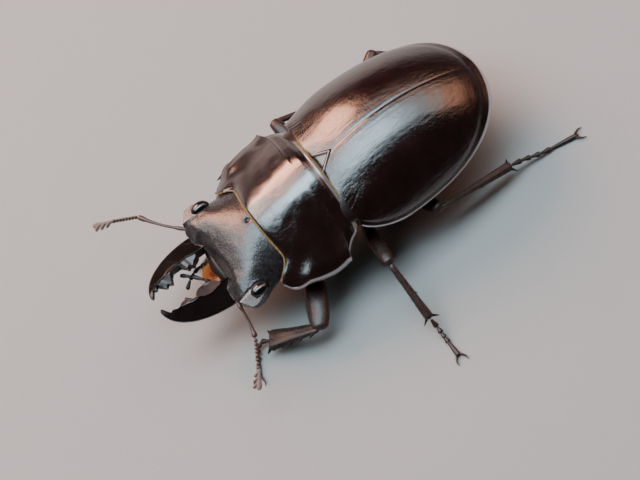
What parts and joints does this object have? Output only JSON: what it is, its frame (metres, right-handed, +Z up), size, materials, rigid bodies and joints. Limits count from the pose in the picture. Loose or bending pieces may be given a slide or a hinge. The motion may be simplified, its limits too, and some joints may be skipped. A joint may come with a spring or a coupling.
{
  "type": "stag beetle",
  "caption": "Male stag beetle with toothed jaws, standing in a walking pose, as a still, life-size model such as a museum shows.",
  "frame": {"origin": "middle of the whole animal's bounding box, on the floor that it stands on", "axes": "+X towards the beetle's own left side, -Y towards its head, +Z up"},
  "size_m": [0.0502, 0.0688, 0.0191],
  "materials": {
    "upper_shell": "glossy brown-black shell with soft broad reflections",
    "head_shell": "satin grey-brown shell",
    "under_shell": "satin black-brown shell of the underside",
    "jaws": "glossy black horn, reddish-brown on the tooth faces",
    "legs": "glossy black-brown shell with ridges",
    "antennae": "satin brown shell",
    "club": "matt grey, covered with very short down",
    "eyes": "polished black",
    "brush": "matt golden-orange hair"
  },
  "bodies": {
    "root": {"abdomen": "under_shell", "antenna_left_club": "club", "antenna_left_funicle": "antennae", "antenna_left_scape": "antennae", "antenna_right_club": "club", "antenna_right_funicle": "antennae", "antenna_right_scape": "antennae", "coxa_fore_left": "legs", "coxa_fore_right": "legs", "coxa_hind_left": "legs", "coxa_hind_right": "legs", "coxa_middle_left": "legs", "coxa_middle_right": "legs", "elytron_left": "upper_shell", "elytron_right": "upper_shell", "eye_left": "eyes", "eye_right": "eyes", "femur_fore_left": "legs", "femur_fore_right": "legs", "femur_hind_left": "legs", "femur_hind_right": "legs", "femur_middle_left": "legs", "femur_middle_right": "legs", "head": "head_shell", "labial_palp_left": "jaws", "labial_palp_right": "jaws", "labrum": "head_shell", "mandible_left": "jaws", "mandible_right": "jaws", "maxillary_palp_left": "jaws", "maxillary_palp_right": "jaws", "mentum": "under_shell", "mouth_brush": "brush", "prothorax": "upper_shell", "scutellum": "upper_shell", "tarsus_fore_left": "legs", "tarsus_fore_right": "legs", "tarsus_hind_left": "legs", "tarsus_hind_right": "legs", "tarsus_middle_left": "legs", "tarsus_middle_right": "legs", "thorax": "under_shell", "tibia_fore_left": "legs", "tibia_fore_right": "legs", "tibia_hind_left": "legs", "tibia_hind_right": "legs", "tibia_middle_left": "legs", "tibia_middle_right": "legs"}
  },
  "joints": []
}
